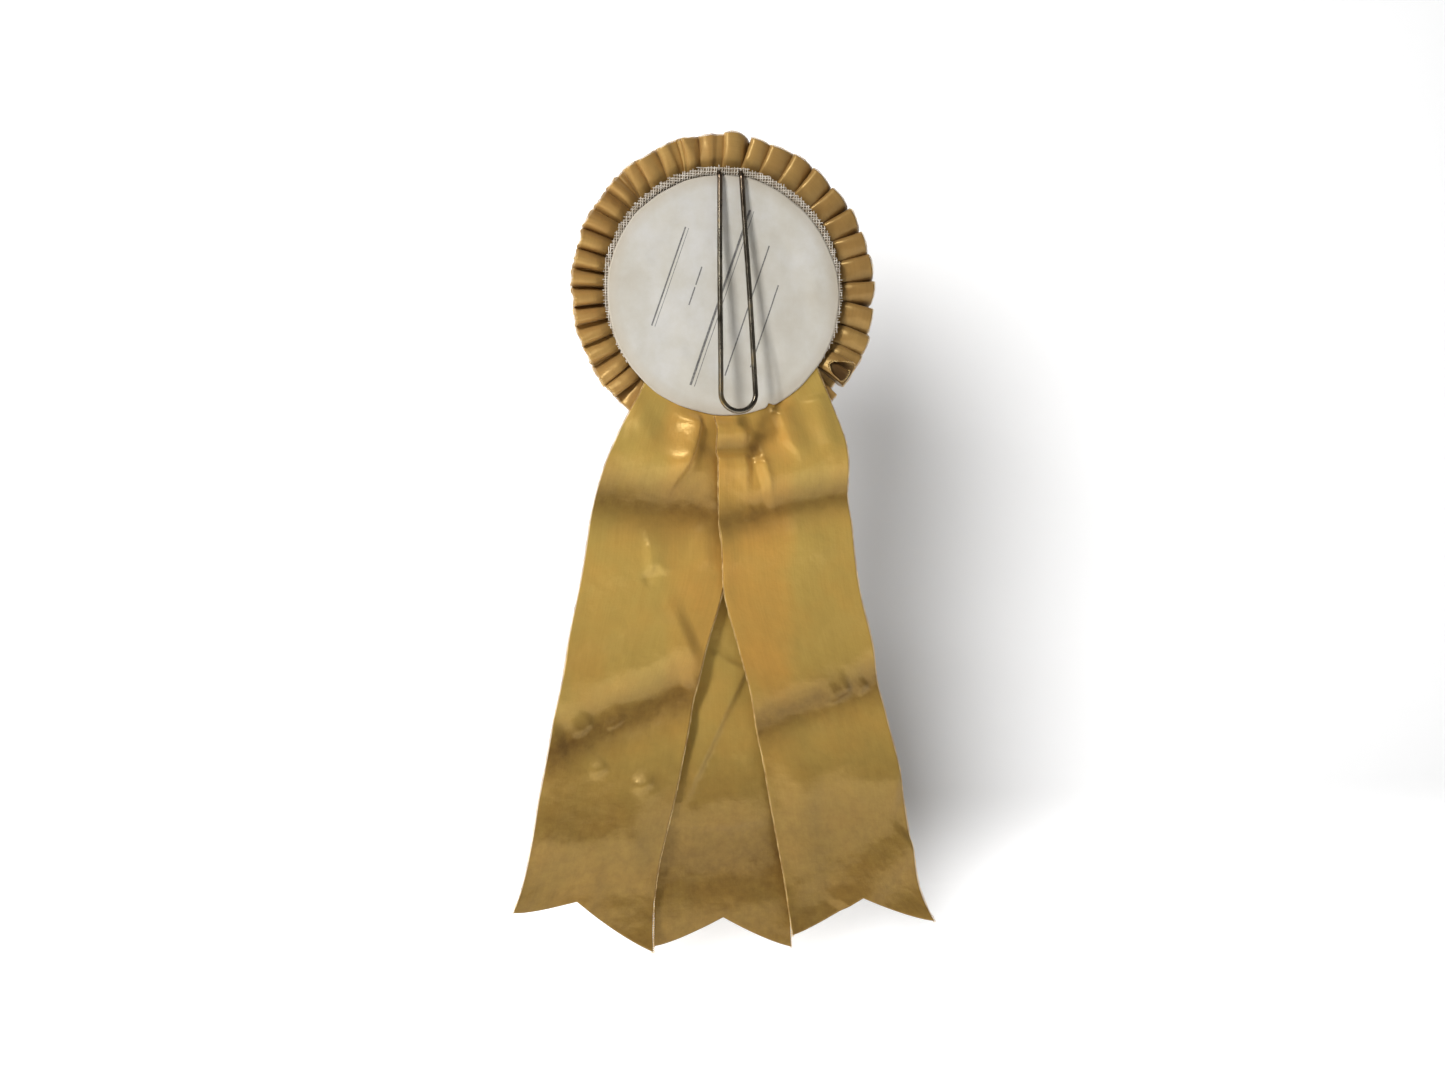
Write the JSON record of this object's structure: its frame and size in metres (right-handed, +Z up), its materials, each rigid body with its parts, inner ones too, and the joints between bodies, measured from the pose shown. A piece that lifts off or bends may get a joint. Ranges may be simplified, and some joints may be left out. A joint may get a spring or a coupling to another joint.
{
  "type": "award ribbon",
  "caption": "Prize rosette of pleated gold satin with a round paper back, a wire pocket clip, a satin-covered button and notched ribbon tails.",
  "frame": {"origin": "mouth of the pocket clip on the rear face of the paper label, midway between the wire's two legs, where a pocket's edge sits under the wire's top bends", "axes": "+Z up the ribbon towards the frill's top, tails hanging towards -Z; +Y out of the display front with the button, so the paper back and the wire clip face -Y; +X to the right as seen from the back"},
  "size_m": [0.1508, 0.027, 0.289],
  "materials": {
    "spring_wire": "tarnished brassy wire, dull with worn bright spots",
    "cotton_thread": "matte twisted cotton",
    "label_paper": "smooth uncoated paper, aged",
    "buckram": "stiff open weave",
    "tail_satin": "satin ribbon, soft sheen across the weave",
    "frill_satin": "satin ribbon, soft sheen across the weave",
    "silk_thread": "glossy twisted silk",
    "pasteboard": "matte grey-brown board",
    "cotton_wadding": "soft matte fibre",
    "button_satin": "stretched satin",
    "staple_wire": "bright drawn wire"
  },
  "bodies": {
    "rosette": {"clip_anchor": "spring_wire", "clip_binding": "cotton_thread", "back_label": "label_paper", "rear_buckram": "buckram", "inner_buckram": "buckram", "left_tail_head": "tail_satin", "right_tail_head": "tail_satin", "centre_tail_head": "tail_satin", "tail_stitches": "silk_thread", "rear_frill": "frill_satin", "front_frill": "frill_satin", "rear_frill_stitches": "silk_thread", "front_frill_stitches": "silk_thread", "button_card": "pasteboard", "button_padding": "cotton_wadding", "button_cover": "button_satin", "button_fastener": "staple_wire"},
    "clip": {"wire_clip": "spring_wire"},
    "left_streamer": {"left_tail": "tail_satin"},
    "right_streamer": {"right_tail": "tail_satin"},
    "centre_streamer": {"centre_tail": "tail_satin"}
  },
  "joints": [
    {"name": "clip_flex", "type": "hinge", "parent": "rosette", "child": "clip", "pos_m": [0, -0.00125, -0.0026], "axis": [-1, 0, 0], "range_deg": [-6, 15], "stiffness_Nm_per_rad": 1},
    {"name": "left_tail_swing", "type": "hinge", "parent": "rosette", "child": "left_streamer", "pos_m": [-0.023, 0.0008, -0.09], "axis": [-1, 0, 0], "range_deg": [0, 75]},
    {"name": "right_tail_swing", "type": "hinge", "parent": "rosette", "child": "right_streamer", "pos_m": [0.018, 0.0008, -0.09], "axis": [-1, 0, 0], "range_deg": [0, 75]},
    {"name": "centre_tail_swing", "type": "hinge", "parent": "rosette", "child": "centre_streamer", "pos_m": [-0.002, 0.00155, -0.099], "axis": [1, 0, 0], "range_deg": [0, 75]}
  ]
}
